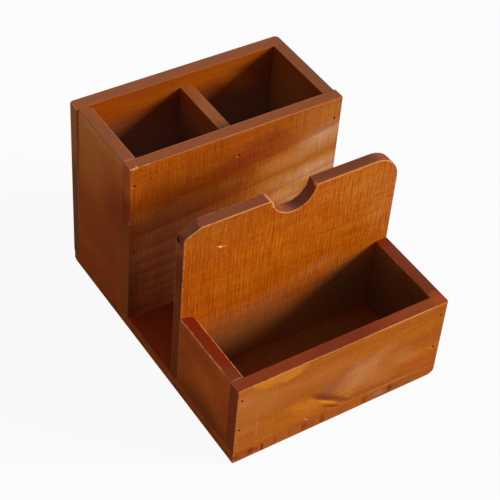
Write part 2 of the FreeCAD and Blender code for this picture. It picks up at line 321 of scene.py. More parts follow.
# %% Distances to the sides of a board
FAR = 99.0  # mm, stands for a side that isn't there


def smallest(wood, *distances):
    """The smallest of several distances."""
    return functools.reduce(lambda a, b: wood.put("Math", [a, b], operation="MINIMUM"), distances)


def distance_to_sides(wood, sides):
    """For each axis, the distance to the nearest of the named sides, such as '-x'."""
    found = []
    for name, place, low, high in zip("xyz", wood.place, wood.low, wood.high):
        near = [wood.put("Math", ends, operation="SUBTRACT")
                for end, ends in (("-", [place, low]), ("+", [high, place]))
                if end + name in sides]
        found.append(smallest(wood, *near) if near else FAR)
    return found


def second_smallest(wood, a, b, c):
    """The middle one of three distances."""
    larger = wood.put("Math", [a, b], operation="MAXIMUM")
    return wood.put("Math", [smallest(wood, a, b), smallest(wood, larger, c)], operation="MAXIMUM")


print("a side that isn't there is taken as", FAR, "mm away")

# %% [markdown]
# ## The tall panel's outline
#
# The panel isn't a plain rectangle: one top corner is a quarter circle, the other was sawn
# off at a slant, and the notch is part of a circle. Its edge could be found with the Bevel
# node, but each of these is a simple distance, and the smallest is the distance in from the
# outline.

# %% Distance in from the panel's outline
PANEL_HALF = 75.0  # mm, as are all the sizes below
PANEL_TOP = 132.0
PANEL_FRONT, PANEL_BACK = -35.9, -27.4
PANEL_ROUND = 18.0  # radius of the panel's top right corner
CUT_ALONG = 10.8  # how far the slanting cut at its top left corner reaches along
CUT_DOWN = (5.0, 7.4)  # and how far down, at the front and the back
NOTCH_AT = (-1.0, 132.9)  # x and z
NOTCH_RADIUS = 15.1


def distance_to_panel_rim(wood):
    """Distance in from the tall panel's outline, with its corners and its notch."""
    put = wood.put
    x, y, z = wood.place
    from_left = put("Math", [x, PANEL_HALF], operation="ADD")
    from_right = put("Math", [PANEL_HALF, x], operation="SUBTRACT")
    from_top = put("Math", [PANEL_TOP, z], operation="SUBTRACT")

    # the round corner: distance in from its arc where the point is beyond both its ends
    beyond = [put("Math", [PANEL_ROUND, near], operation="SUBTRACT")
              for near in (from_right, from_top)]
    beyond = [put("Math", [value, 0.0], operation="MAXIMUM") for value in beyond]
    corner = put("VectorMath", [put("CombineXYZ", beyond)], out="Value", operation="LENGTH")
    to_arc = put("Math", [PANEL_ROUND, corner], operation="SUBTRACT")

    # the slanting cut: lowest at the panel's end and at the back, and the height below it
    # is turned into a distance with the cut's slope
    lowest = put("MapRange", [y, PANEL_FRONT, PANEL_BACK, *CUT_DOWN])
    part_left = put("Math", [from_left, -1 / CUT_ALONG, 1.0], operation="MULTIPLY_ADD")
    down = put("Math", [lowest, part_left], operation="MULTIPLY")
    under = put("Math", [from_top, down], operation="SUBTRACT")
    slope = math.atan2(sum(CUT_DOWN) / 2, CUT_ALONG)
    to_cut = put("Math", [under, math.cos(slope)], operation="MULTIPLY")

    aside = put("CombineXYZ", [x, z, 0.0])
    to_centre = put("VectorMath", [aside, (*NOTCH_AT, 0.0)], out="Value", operation="DISTANCE")
    to_notch = put("Math", [to_centre, NOTCH_RADIUS], operation="SUBTRACT")
    return smallest(wood, from_left, from_top, from_right, to_arc, to_cut, to_notch)


print("panel corner", PANEL_ROUND, "mm, notch radius", NOTCH_RADIUS, "mm")

# %% [markdown]
# ## Marks with a place
#
# No two boards are alike: one has a knot, another a patch where the stain took lightly, a
# chip, or a smudge. Some marks and spots are painted light and shade instead: a sheen, the
# edge of a cast shadow, or fill light inside one. Such marks could be painted on an image.
# Here each one is an ellipse on the board's face, said in millimetres. Its outline is
# stirred by noise, so that it looks soaked in rather than stuck on, unless it is as narrow
# as a scratch. Chips on edges and ends are small ellipsoids, because they cross from one
# side of a board to the next.

# %% One mark and one spot
FRONT_LEFT_CORNER = (-75.0, -100.4, 0.0)  # mm, where the marks are measured from
STRAIGHT_BELOW = 2.0  # mm
MARK_SPREAD = 0.3  # how far a soft mark reaches beyond its size
SPOT_EDGE = (0.5, 1.1)  # from where to where a spot fades, as parts of its size


def tinted(wood, colour, where, at, turn, size, fade, tint, strength):
    """The colour with one ellipsoid of another tint, which fades over that range."""
    local = wood.put("Mapping", [where, at, (0.0, 0.0, math.radians(turn)), size], vector_type="TEXTURE")
    away = wood.put("VectorMath", [local], out="Value", operation="LENGTH")
    amount = wood.put("MapRange", [away, *fade, strength, 0.0], interpolation_type="SMOOTHSTEP")
    return wood.put("Mix", {0: amount, 6: colour, 7: linear(tint)}, **COLOURS)


def mark(wood, colour, at, size, tint, strength, turn=0, soft=1):
    """The colour with one ellipse on the face: its centre and half sizes in mm."""
    plane = wood.face if min(size) < STRAIGHT_BELOW else wood.stirred
    fade = (1 - soft, 1 + MARK_SPREAD * soft)
    return tinted(wood, colour, plane, (*at, 0.0), turn, (*size, 1.0), fade, tint, strength)


def spot(wood, colour, at, size, tint, strength):
    """The colour with one small ellipsoid, for chips on edges and ends."""
    return tinted(wood, colour, wood.measured, at, 0.0, size, SPOT_EDGE, tint, strength)


def lay_on_face(wood, colour, marks):
    """The colour with marks on the side of the board that has them."""
    marked = colour
    for one in marks:
        marked = mark(wood, marked, *one)
    return wood.put("Mix", {0: wood.this_side, 6: colour, 7: marked}, **COLOURS)


print("a mark narrower than", STRAIGHT_BELOW, "mm keeps a clean outline")

# %% [markdown]
# ## Stained lacquered pine
#
# One material could serve every board, but boards that were sawn from different planks
# differ in tone, and that is most of what makes the object look real. So each gets its own
# from a recipe. First come the plank's own facts: which way its grain runs, its fibres and
# rings, and the plane on which its marks are measured.

# %% The plank
FIBRE_LENGTH = 22.0  # mm
FIBRE_WIDTH = 0.6  # mm, real ones are a tenth of that and wouldn't show
CLOUD_SIZE = (34.0, 22.0)  # mm along and across the grain
STIR_SIZE = 100 / 9  # mm over which the outline of a mark is stirred
STIR_REACH = 7.0  # mm for each unit of the noise that stirs it


def plank(tree, name, board):
    """The facts about one board that its patterns are drawn from."""
    wood = types.SimpleNamespace(name=name, board=board, tree=tree)
    wood.put = functools.partial(add, tree)
    wood.low, wood.high = [[v / MM for v in corner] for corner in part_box(name)]
    wood.place = place_in_mm(tree)
    wood.axis = dict(zip("xyz", wood.place))
    wood.along, wood.through = board["grain"], board["thin"]
    wood.across = ({"x", "y", "z"} - {wood.along, wood.through}).pop()
    wood.grain = wood.put("CombineXYZ", [wood.axis[way] for way in (wood.along, wood.across, wood.through)])
    wood.rings = growth_rings(tree, wood.grain, board)
    wood.fibres = streaks(tree, wood.grain, FIBRE_LENGTH, FIBRE_WIDTH, board["seed"] + 1, 3.0)
    wood.clouds = streaks(tree, wood.grain, *CLOUD_SIZE, board["seed"] + 3)

    wood.measured = wood.put("VectorMath", [wood.put("CombineXYZ", wood.place),
                                            FRONT_LEFT_CORNER], operation="SUBTRACT")
    parts = zip("xyz", wood.put("SeparateXYZ", [wood.measured]).node.outputs)
    wood.face = wood.put("CombineXYZ", [part for axis, part in parts if axis != wood.through])
    stir = grains(tree, wood.grain, STIR_SIZE, 3.0, out=1)
    stir = wood.put("VectorMath", [stir, (0.5, 0.5, 0.5)], operation="SUBTRACT")
    wood.stirred = wood.put("VectorMath", [stir, (STIR_REACH, STIR_REACH, 0.0), wood.face],
                            operation="MULTIPLY_ADD")
    wood.normal = wood.put("NewGeometry", out="Normal")
    wood.this_side = wood.put("VectorMath", [wood.normal, board["marked_side"]], out="Value",
                              operation="DOT_PRODUCT")
    return wood


print("fibres are drawn", FIBRE_WIDTH, "mm wide")

# %% [markdown]
# ## Stain
#
# Pine takes stain unevenly. It has two tones, in long bands and in clouds, and on top of
# them its thickness changes finely: along the fibres, in a mottle of small flecks, and in
# close cross marks that the planer left. The fine changes could be mixed tones as well, but
# thicker stain isn't only darker, it is redder. So they are one number, the extra
# thickness, and STAIN_TAKES says how much more green and blue than red it takes away.

# %% Tones and thickness of the stain
BAND_LENGTH = 160.0  # mm
CLOUD_STRENGTH = 0.25
STAIN_TAKES = (1.0, 1.9, 2.6)  # how much red, green and blue extra thickness takes
MOTTLE_SIZE = 1.3  # mm
CHATTER_PITCH = 2.6  # mm, the planer's step
CHATTER_BENDS = (60.0, 2.5)  # mm long and wide, over which a cross mark strays
CHATTER_CROOKED = 1.5  # how many steps it may stray
CHATTER_PATCH = (18.0, 3.5)  # mm long and wide, over which it fades
CHATTER_LEAST = 0.5  # the share of it that is left where it is faintest
CHATTER_CREST = 0.2  # above this height of its wave it starts to show
HAIRLINE = (12.0, 0.45)  # mm long and wide, the fine lines among the cross marks
HAIRLINE_DEPTH = 1.1  # against the cross marks themselves


def stain(wood):
    """The two tones of the stain, in long bands and in clouds."""
    board = wood.board
    pale, deep = linear(board["pale"]), linear(board["deep"])
    bands = streaks(wood.tree, wood.grain, BAND_LENGTH, board["band"], board["seed"] + 2)
    banded = wood.put("MapRange", [bands, 0.36, 0.64, 0.0, 1.0])
    colour = wood.put("Mix", {0: banded, 6: pale, 7: deep}, **COLOURS)
    clouded = wood.put("MapRange", [wood.clouds, 0.4, 0.68, 0.0, CLOUD_STRENGTH])
    return wood.put("Mix", {0: clouded, 6: colour, 7: deep}, **COLOURS)


def planer_marks(wood, thick):
    """The stain's extra thickness with the planer's cross marks added."""
    put, tree, seed, deepest = wood.put, wood.tree, wood.board["seed"], wood.board["chatter"]
    crossways = put("CombineXYZ", [wood.axis["z"], wood.axis["x"], wood.axis["y"]])
    crooked = streaks(tree, crossways, *CHATTER_BENDS, seed + 4)
    crooked = put("Math", [crooked, CHATTER_CROOKED], operation="MULTIPLY")
    turns = put("Math", [wood.axis["x"], CHATTER_PITCH], operation="DIVIDE")
    turns = put("Math", [turns, crooked], operation="ADD")
    wave = put("Math", [put("Math", [turns, math.tau], operation="MULTIPLY")], operation="SINE")
    lines = put("MapRange", [wave, CHATTER_CREST, 1.0, 0.0, 1.0])
    fine = put("MapRange", [streaks(tree, crossways, *HAIRLINE, seed + 8, 1.0), 0.36, 0.64,
                            -HAIRLINE_DEPTH, HAIRLINE_DEPTH])
    cross = put("Math", [lines, fine], operation="SUBTRACT")
    patchy = put("MapRange", [streaks(tree, crossways, *CHATTER_PATCH, seed + 5), 0.35, 0.65,
                              CHATTER_LEAST * deepest, deepest])
    return put("Math", [cross, patchy, thick], operation="MULTIPLY_ADD")


def extra_thickness(wood):
    """How much thicker than usual the stain is: fibres, mottle and the planer's marks."""
    board = wood.board
    thick = wood.put("MapRange", [wood.fibres, *NOISE, board["fibre"], -board["fibre"]])
    mottle = grains(wood.tree, wood.grain, MOTTLE_SIZE, 3.0)
    mottle = wood.put("MapRange", [mottle, *NOISE, board["mottle"], -board["mottle"]])
    thick = wood.put("Math", [thick, mottle], operation="ADD")
    return planer_marks(wood, thick) if board["chatter"] else thick


def through_stain(wood, colour, thick, share):
    """The colour seen through that share of the stain's extra thickness."""
    left = wood.put("VectorMath", [thick, [-share * takes for takes in STAIN_TAKES],
                                   (1.0, 1.0, 1.0)], operation="MULTIPLY_ADD")
    return wood.put("Mix", {0: 1.0, 6: colour, 7: left}, blend_type="MULTIPLY", **COLOURS)


print("planer marks are", CHATTER_PITCH, "mm apart, mottle", MOTTLE_SIZE, "mm")

# %% [markdown]
# ## Painted shade tint and painted light
#
# Low down on the inner faces, where the tray and the pockets lie in shade, the stain is
# painted greyer: a painted shade colour that stands in for the soft light in that shade.
# It also evens out the fine texture. The patches of painted light are mostly a painted
# sheen, the lit floor's reflection in the lacquer, with some painted shade and painted
# fill light in and along cast shadows. They could be a change of roughness, but then they
# would come and go with the lamps. They are a tint instead, laid between two shares of the
# fine texture, so that the fibres show through them faintly.

# %% Painted shade tint, painted light and rings
UNDER_SHADE_TINT = 0.2  # the share of the fine texture that the painted shade tint leaves
OVER_PAINTED_LIGHT = 0.55  # the share of the fine texture that shows through the painted light
LATE_TINT = "#8C2C02"  # the dark line of a ring
RINGS_LEAST = 0.6  # the share of the rings' strength that is left where they are faintest


def painted_shade_inside(wood, colour, thick):
    """The colour and extra thickness with a painted shade colour low on the inward face."""
    board = wood.board
    if not board["inside"]:
        return colour, thick
    inner = wood.put("VectorMath", [wood.normal, board["inside"]], out="Value", operation="DOT_PRODUCT")
    low_down = wood.put("MapRange", [wood.axis["z"], *board["shade_tinted"], 1.0, 0.0],
                        interpolation_type="SMOOTHSTEP")
    shade_tinted = wood.put("Math", [inner, low_down], operation="MULTIPLY", use_clamp=True)
    clear = wood.put("MapRange", [shade_tinted, 0.0, 1.0, 1.0, UNDER_SHADE_TINT])
    colour = wood.put("Mix", {0: shade_tinted, 6: colour, 7: linear(board["shade_tint"])}, **COLOURS)
    return colour, wood.put("Math", [thick, clear], operation="MULTIPLY")


def textured(wood, colour, thick):
    """The colour with the fine texture, the painted light inside it, and the dark ring lines."""
    board = wood.board
    colour = through_stain(wood, colour, thick, 1 - OVER_PAINTED_LIGHT)
    colour = lay_on_face(wood, colour, board["painted_light"])
    colour = through_stain(wood, colour, thick, OVER_PAINTED_LIGHT)
    patchy = wood.put("MapRange", [wood.clouds, 0.35, 0.65, RINGS_LEAST * board["rings"], board["rings"]])
    shown = wood.put("Math", [wood.rings, patchy], operation="MULTIPLY")
    return wood.put("Mix", {0: shown, 6: colour, 7: linear(LATE_TINT)}, **COLOURS)


print("dust leaves", UNDER_SHADE_TINT, "of the texture, haze", OVER_PAINTED_LIGHT)

# %% [markdown]
# ## Narrow edges and end grain
#
# The long narrow edges were sawn and handled most, so they have a tone of their own that
# goes dull in patches. End grain drinks stain and turns dark, with open pores. Each could
# be a material slot of its own, but the normal tells them apart: along the grain it is an
# end, across it an edge, and through the board a face.

# %% Edges and ends
PORE_SIZE = 0.625  # mm
PORES = (0.7, 1.25)  # how bright the end grain is in a pore, and between them
END_RINGS = 0.45  # how plainly the rings show on an end
EDGE_SHARE = 0.95  # how much of an edge has its own tone
EDGE_PATCH = (11.0, 3.5)  # mm long and wide, the dull patches of an edge
EDGE_DULL = 0.9  # how much of a patch has the dull tone
TURNS_OVER = (0.55, 0.85)  # how square to an axis a face has to be, from none to all


def edges_and_ends(wood, colour):
    """The colour with the narrow edges and end grain, and how much of a point is an end."""
    board, put = wood.board, wood.put
    normals = dict(zip("xyz", put("SeparateXYZ", [wood.normal]).node.outputs))
    facing = put("Math", [normals[wood.across]], operation="ABSOLUTE")
    is_edge = put("MapRange", [facing, *TURNS_OVER, 0.0, EDGE_SHARE])
    handled = put("MapRange", [streaks(wood.tree, wood.grain, *EDGE_PATCH, board["seed"] + 7,
                                       4.0), 0.40, 0.62, 0.0, EDGE_DULL])
    tint, dull = [linear(tone) for tone in board["edges"]]
    rim = put("Mix", {0: handled, 6: tint, 7: dull}, **COLOURS)
    colour = put("Mix", {0: is_edge, 6: colour, 7: rim}, **COLOURS)

    facing = put("Math", [normals[wood.along]], operation="ABSOLUTE")
    is_end = put("MapRange", [facing, *TURNS_OVER, 0.0, 1.0])
    late = put("Math", [wood.rings, END_RINGS], operation="MULTIPLY")
    tint, dark = [linear(tone) for tone in board["ends"]]
    end = put("Mix", {0: late, 6: tint, 7: dark}, **COLOURS)
    pores = put("MapRange", [grains(wood.tree, wood.grain, PORE_SIZE, 2.0), *NOISE, *PORES])
    end = put("Mix", {0: 1.0, 6: end, 7: pores}, blend_type="MULTIPLY", **COLOURS)
    return put("Mix", {0: is_end, 6: colour, 7: end}, **COLOURS), is_end


print("end grain has pores of", round(PORE_SIZE, 2), "mm")

# %% [markdown]
# ## Wear and seams
#
# The worn line could be an even stripe, but real wear is ragged, so its reach comes from
# noise. A board's recipe names the sides whose arrises are worn, and the tall panel uses
# its outline. Low down, where hands seldom reach, the panel's wear fades.

# %% Worn arrises and dark seams
SEAM_TINT = "#240A03"
SEAM_WIDTH = (0.1, 0.5)  # mm from a butted side, from full strength to none
WORN_REACH = (0.25, 1.05)  # mm, the least and the most that wear reaches in
WORN_EDGE = (0.5, 1.15)  # from where to where wear fades, as parts of its reach
RAGGED_SIZE = 20 / 9  # mm
PANEL_HANDLED = (60.0, 100.0)  # mm up, between which the panel's wear grows to its full
PANEL_LOW_WEAR = 0.6  # the share of it below
EVERY_SIDE = ("-x", "+x", "-y", "+y", "-z", "+z")


def worn_arrises(wood, colour):
    """The colour with paler wood along the worn arrises."""
    board, put = wood.board, wood.put
    if wood.name == "tall_panel":
        to_face = distance_to_sides(wood, ("-y", "+y"))[1]
        to_arris = put("Math", [distance_to_panel_rim(wood), to_face], operation="MAXIMUM")
    else:
        to_arris = second_smallest(wood, *distance_to_sides(wood, board["worn"].split()))
    reach = put("MapRange", [grains(wood.tree, wood.grain, RAGGED_SIZE, 4.0), *NOISE, *WORN_REACH])
    away = put("Math", [to_arris, reach], operation="DIVIDE")
    worn = put("MapRange", [away, *WORN_EDGE, board["wear"], 0.0])
    if wood.name == "tall_panel":
        touched = put("MapRange", [wood.axis["z"], *PANEL_HANDLED, PANEL_LOW_WEAR, 1.0])
        worn = put("Math", [worn, touched], operation="MULTIPLY")
    return put("Mix", {0: worn, 6: colour, 7: linear(board["arris"])}, **COLOURS)


def dark_seams(wood, colour):
    """The colour with dirt along the sides that are butted against other boards."""
    butted = [side for side in EVERY_SIDE if side not in wood.board["open"].split()]
    if not butted:
        return colour
    nearest = smallest(wood, *distance_to_sides(wood, butted))
    dirty = wood.put("MapRange", [nearest, *SEAM_WIDTH, wood.board["seam"], 0.0])
    return wood.put("Mix", {0: dirty, 6: colour, 7: linear(SEAM_TINT)}, **COLOURS)


print("wear reaches", WORN_REACH[1], "mm in from an arris at most")

# %% [markdown]
# ## Lacquer
#
# Clear semi-gloss lacquer has an IOR near 1.5. It was brushed on thinly, so the fibres
# still stand out as a slight relief, and its roughness varies and rises on the thirsty end
# grain. It could be the shader's coat layer, but one layer is enough where the wood below
# has no shine of its own.

# %% The finish of one board
LACQUER_IOR = 1.5
LACQUER_SHINE = 0.4  # a full coat would be 0.5
LACQUER_PATCH = (20.0, 9.0)  # mm along and across the grain
LACQUER_ROUGH = (0.28, 0.40)  # where it lies thick, and where it is thin
END_ROUGHER = 0.05  # how much rougher the end grain is
RELIEF = 0.06  # mm, the height of the fibres
RELIEF_SHOWN = 0.35  # how much of it the lacquer leaves
RING_RELIEF = 0.5  # the height of a ring, against that of the fibres


def stained_pine(name, board):
    """The material of one board: its wood, stain, wear and lacquer."""
    material, tree = bare_material("stained_lacquered_pine_" + name)
    wood = plank(tree, name, board)
    put = wood.put
    colour = lay_on_face(wood, stain(wood), board["marks"])
    colour, thick = painted_shade_inside(wood, colour, extra_thickness(wood))
    colour = textured(wood, colour, thick)
    colour, is_end = edges_and_ends(wood, colour)
    colour = dark_seams(wood, worn_arrises(wood, colour))
    for one in board["spots"]:
        colour = spot(wood, colour, *one)

    relief = put("Math", [wood.rings, RING_RELIEF, wood.fibres], operation="MULTIPLY_ADD")
    bump = put("Bump", {"Height": relief, "Strength": RELIEF_SHOWN, "Distance": RELIEF * MM})
    rough = streaks(wood.tree, wood.grain, *LACQUER_PATCH, board["seed"] + 6)
    rough = put("MapRange", [rough, *NOISE, *LACQUER_ROUGH])
    rough = put("Math", [is_end, END_ROUGHER, rough], operation="MULTIPLY_ADD")
    finish = put("BsdfPrincipled", {"Base Color": colour, "Roughness": rough, "Normal": bump,
                                    "IOR": LACQUER_IOR, "Specular IOR Level": LACQUER_SHINE})
    put("OutputMaterial", {"Surface": finish})
    return material


print("lacquer IOR", LACQUER_IOR)

# %% [markdown]
# ## A recipe for each board
#
# A recipe names what differs from COMMON, or for a short wall from SIDE. It starts with the
# tree: the axes along the grain and through the board, the width of a ring, where the pith
# was, how it leaned and bent, how much the rings waver, and how plainly they show. Then
# come the stain's tones, the strength of each fine texture, and the tones of ends (with
# their rings) and edges (with their dull patches). open names the sides that no board is
# butted against, and worn the ones whose arrises are worn. marked_side is the way that the
# marked face looks, and inside the way that the face with the painted shade colour looks.
#
# A mark, a patch of painted light or a spot is a centre, its half sizes, a tint and a
# strength, all in millimetres from the base's front left corner. A mark or a patch of
# painted light may then have a turn in degrees, and a softness.

# %% What the boards have in common
COMMON = dict(
    grain="x", thin="y", open="-x +x -y +y +z", ring=3.6, pith=(-20, -60),
    lean=(0.02, 0.03), bend=(0, 0), wobble=0.5, rings=0.1, pale="#BE5A0A", deep="#AC450A",
    band=13, fibre=0.1, mottle=0.09, chatter=0.03, ends=("#953C06", "#6A2404"),
    worn="", wear=0.75, arris="#D08850", seam=0.3,
    marks=[], painted_light=[], marked_side=(0, -1, 0), spots=[],
    inside=None, shade_tint="#AE8068", shade_tinted=(70, 124),  # mm up, where painted shade thins out
)
SIDE = dict(COMMON, grain="y", thin="x", open="-x +x +z")
BOARDS = {}
print("values in a recipe:", len(COMMON))

# %% [markdown]
# ## The base
#
# The base is a darker plank with its grain from front to back, so its front edge is end
# grain. Its rings are wide and cut at every slant, which no even pattern gives, so the
# patches of late wood are placed one by one.

# %% Base board
LATE_WOOD = [  # x and z, half sizes, tint and strength
    (117, 4.5, 26, 6, "#924C1C", 0.8), (7, 4.5, 7, 6, "#8A3E0C", 0.6),
    (2, 4.5, 2.4, 3.4, "#742C08", 0.6), (12.5, 4.8, 2.8, 3.4, "#682606", 0.8),
    (16.4, 4, 1.4, 2.4, "#6E2806", 0.7), (20.3, 3.6, 1.1, 4.6, "#5E2204", 0.9),
    (25, 6.4, 2.4, 0.9, "#B04818", 0.8), (29.6, 4.6, 1.6, 3.6, "#84380C", 0.7),
    (40.3, 5.5, 1.4, 2.8, "#8A3C10", 0.5), (50.5, 4.8, 2.8, 4.2, "#74300A", 0.7),
    (55, 4.6, 3, 4.2, "#80400F", 0.5), (63.5, 4.6, 2.2, 5, "#6A2A08", 0.65),
    (79, 4.8, 7, 4.4, "#984818", 0.7), (70, 5.4, 2.6, 3.6, "#8E4818", 0.4),
    (95, 4.2, 2.8, 4.2, "#6E2E08", 0.5), (105.5, 4.8, 5.4, 3.6, "#B47A54", 0.25),
    (114.3, 5, 2.2, 3.4, "#5E2004", 0.7), (119, 4.4, 3, 2.6, "#8A3C10", 0.6),
]
LATE_WOOD_DEEP = 3.0  # mm, the half size of a patch into the board

BOARDS["base_board"] = dict(
    COMMON, grain="y", thin="z", seed=11, ring=15, pith=(-330, 0), lean=(0.01, 0.5), wobble=1.1,
    rings=0.06, pale="#A0380C", deep="#882A08", chatter=0, ends=("#A25112", "#90440E"),
    edges=("#B4540E", "#9B440C"), open="-x +x -y +y -z +z", worn="-x -y", marked_side=(0, 0, 1),
    marks=[((50, 126.2), (70, 0.9), "#C87050", 0.7, 0, 0.8),  # light off the glue line
           ((75, 36), (110, 34), "#955020", 0.9, 0, 0.3)],  # painted shade colour on the tray floor
    spots=[((x, 0, z), (wide, LATE_WOOD_DEEP, high), tint, strength)
           for x, z, wide, high, tint, strength in LATE_WOOD],
)
print("patches of late wood:", len(LATE_WOOD))

# %% [markdown]
# ## The tray's front
#
# This is the board that one sees first, and it has the only knot. A knot could be modelled
# as a branch with its own rings, but this one was cut so that only its swirl shows. So it
# is built up like a drawing, from broad soft patches to a few fine arcs.

# %% Tray front
BOARDS["tray_front_board"] = dict(
    COMMON, seed=23, pale="#A95B0A", deep="#9C500A", chatter=0.05, edges=("#9A3A12", "#94442A"),
    worn="-x -y +z", wear=0.65, arris="#CC8448",
    marks=[
        ((96, 12.5), (34, 4), "#8C4010", 0.5, -3),
        ((28, 62), (21, 7.5), "#C47814", 0.75, -4, 0.4),  # golden lens at the top
        ((31, 53.6), (15, 1.3), "#8E4A1A", 0.55, 4, 0.8),
        ((20, 29.5), (11, 1.6), "#8C440E", 0.65, -17), ((35, 22), (10, 1.2), "#94480E", 0.35, -17),
        ((36, 36), (12, 6), "#9A4A18", 0.5), ((10, 16), (18, 7), "#9C4C10", 0.5),
        ((52, 10), (24, 4.5), "#8A3E10", 0.6), ((7, 20), (8, 6), "#94480E", 0.5),
        ((127, 26), (11, 5), "#B86820", 0.6), ((134, 16), (14, 6), "#AE4E12", 0.6),
        ((144, 42), (4, 10), "#A04812", 0.5),
        ((49, 24.5), (15, 7), "#C06C12", 0.65, -25),  # the swirl around the knot
        ((58, 20), (13, 4.5), "#BA6210", 0.7, -32), ((67, 31), (10, 7), "#8C5032", 0.8, 35),
        ((63, 27), (8, 4.5), "#84441C", 0.7, -25), ((76, 37), (13, 4), "#945434", 0.55, 35),
        ((68, 21.4), (21, 3), "#6C2E0C", 0.85, -34), ((61, 25), (10, 1.9), "#7C3414", 0.75, -34),
        ((76, 16.6), (9, 2.3), "#74300C", 0.75, -34),
        ((62, 21.6), (14, 1), "#D0801C", 0.5, -31, 0.8),  # its fine arcs
        ((66.2, 18), (10, 1.3), "#D4841C", 0.75, -31, 0.8),
        ((67.2, 15.9), (9, 0.5), "#82380C", 0.6, -28, 0.8),
        ((68.6, 13.2), (9.5, 1.1), "#742C06", 0.9, -28, 0.8),
        ((15, 32), (0.4, 14), "#BC7C44", 0.35, 2, 0.8),  # scratches
        ((15, 20), (0.4, 4), "#C88E58", 0.45, 2, 0.8),
        ((51, 11), (3.2, 0.4), "#D8A060", 0.8, -45, 0.8),
        ((110, 9.2), (40, 0.5), "#D89660", 0.45, -1, 0.8),  # light in the glue line
        # pale lips around the brads, with painted highlights on their lit side
        ((2.6, 28.2), (1.2, 0.6), "#D08848", 0.5, -20, 0.8),  # brad lips, painted highlights
        ((144.3, 54.2), (1.2, 0.7), "#E8A060", 0.7, -60, 0.8),
        ((143, 25.8), (1.2, 0.6), "#D89050", 0.6, 10, 0.8),
    ],
    painted_light=[
        # painted sheen: the lit floor's reflection in the lacquer, in pale patches
        ((18, 44), (30, 16), "#AE6A2C", 0.55), ((6, 52), (8, 8), "#B87040", 0.5),
        ((8, 26), (16, 5), "#A8622A", 0.5, -10), ((100, 42), (22, 8), "#AC6630", 0.5, 25),
        ((62, 46), (26, 11), "#AC662C", 0.5), ((84, 37), (12, 7), "#B87A54", 0.55, 30),
        ((101, 37), (18, 9), "#AE6C34", 0.5, 28), ((102, 21), (16, 9), "#B26C38", 0.5, -8),
        ((118, 31), (14, 9), "#BA7438", 0.45), ((88, 27), (19, 11), "#B87A44", 0.55, 20),
        ((92, 33), (21, 7), "#B87840", 0.4, 39), ((90, 43.5), (18, 2.6), "#965430", 0.4, 22),
    ],
    spots=[
        ((75, 4, 64), (30, 6, 2), "#702C18", 0.4),  # along the top edge
        ((128, 4, 64), (24, 6, 2), "#AA5020", 0.55),
        ((122, 0.2, 63.8), (34, 0.7, 0.7), "#E6A46C", 0.6),
        ((146, 4, 64), (8, 7, 2), "#C05A1C", 0.7),
    ],
)
print("marks on it:", len(BOARDS["tray_front_board"]["marks"]))

# %% [markdown]
# ## The tray's sides
#
# Each side has a few darker and lighter patches and pale worn arrises. That could come
# from noise alone, but such patches keep to the same places, so two or three marks say it
# better. The left side has painted light over the shade in its joint with the front, and
# the right side a painted shade colour low on its inner face.

# %% Tray sides
BOARDS["tray_left_side"] = dict(
    SIDE, seed=31, edges=("#902404", "#7C2A14"), worn="-x +x +z", wear=0.85, arris="#E8965C",
    marked_side=(-1, 0, 0),
    marks=[((30, 12), (60, 16), "#8A3808", 0.9),
           ((35, 37), (21, 10), "#D4701A", 0.5)],
    spots=[((3, 10, 64), (6, 14, 2), "#8C4026", 0.6),
           ((4.3, 8.6, 63.8), (5, 1.1, 0.9), "#C88058", 0.6)],  # painted light over the joint's shade
)
BOARDS["tray_right_side"] = dict(
    SIDE, seed=43, edges=("#883812", "#7A3E22"), worn="-x +x +z", wear=0.4, inside=(-1, 0, 0),
    # a painted shade colour low on its inner face, which lies in shade
    shade_tint="#7C5232", shade_tinted=(50, 90),
    spots=[((146, 62, 64), (6, 7, 4), "#8A2A08", 0.8),
           ((146, 9.5, 64), (6, 3, 2), "#B85420", 0.7),
           ((141.5, 22, 56), (2, 20, 14), "#502C14", 0.4)],
)
print("pieces of the tray:", len(BOARDS) - 1)

# %% [markdown]
# ## The tall panel
#
# The panel has the plainest planer marks, fine rings that climb over it, and a notch that
# every hand reaches for, so its rim is the palest wood of all. The wear beside the notch
# could be left to the worn line, but it is too uneven, so it has spots of its own.

